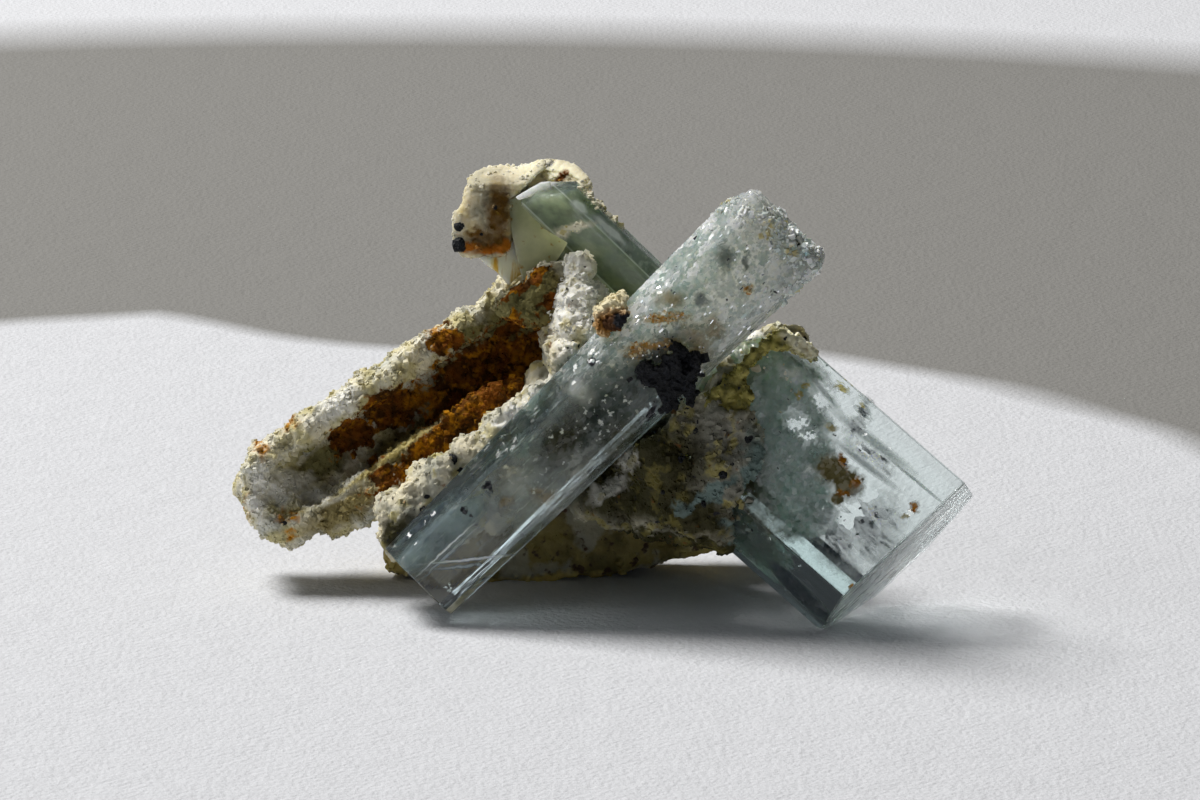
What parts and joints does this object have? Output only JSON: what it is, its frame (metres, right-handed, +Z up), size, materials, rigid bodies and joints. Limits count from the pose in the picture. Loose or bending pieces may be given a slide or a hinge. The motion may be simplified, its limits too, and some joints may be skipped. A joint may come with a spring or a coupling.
{
  "type": "aquamarine crystal cluster",
  "caption": "Cluster of crossed clear blue-green prismatic crystals held in rough mineral crust, with a hollow rust-stained arm; rests on a surface.",
  "frame": {"origin": "centre of the bounding box's base, on the surface the cluster rests on", "axes": "+Z up, +X to the right along the cluster's length, +Y from the front (the long crossing crystal's side) to the back"},
  "size_m": [0.0244, 0.0107, 0.0146],
  "materials": {
    "aquamarine": "clear crystal",
    "green_aquamarine": "clear crystal, slightly cloudy",
    "crust": "rough mineral crust",
    "stained_crust": "rough, stained with rust",
    "cream_crust": "rough",
    "olive_plate": "waxy, spotted",
    "tourmaline": "black, shiny grains",
    "rust": "rough, rusty"
  },
  "bodies": {
    "root": {"front_crystal": "aquamarine", "right_crystal": "aquamarine", "upper_left_crystal": "green_aquamarine", "central_matrix": "crust", "stained_arm": "stained_crust", "hood_crust": "cream_crust", "back_plate": "olive_plate", "black_tourmaline": "tourmaline", "rust_knob": "rust"}
  },
  "joints": []
}
